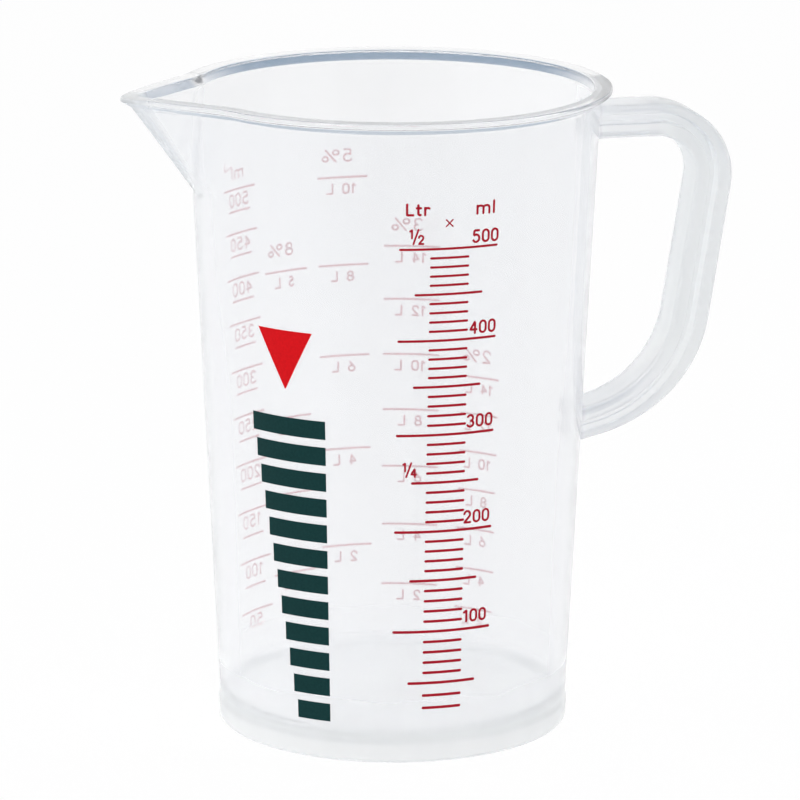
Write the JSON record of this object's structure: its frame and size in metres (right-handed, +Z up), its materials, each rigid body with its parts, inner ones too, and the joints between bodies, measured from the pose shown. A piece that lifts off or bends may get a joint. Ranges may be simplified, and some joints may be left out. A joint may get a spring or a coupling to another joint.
{
  "type": "measuring jug",
  "caption": "Clear-frosted half-litre measuring jug for oil: tapered round cup with a rolled rim, a V-shaped pouring beak and a closed side handle, moulded in one piece.",
  "frame": {"origin": "on the surface that the jug stands on, under the middle of its bounding box; the cup's own axis lies a few millimetres towards -X of it", "axes": "+Z up along the cup's axis, -X towards the pouring beak, +X towards the handle"},
  "size_m": [0.132, 0.0922, 0.1383],
  "materials": {
    "frosted_polypropylene": "clear-frosted natural polypropylene, injection moulded, slightly glossy"
  },
  "bodies": {
    "root": {"jug": "frosted_polypropylene"}
  },
  "joints": []
}
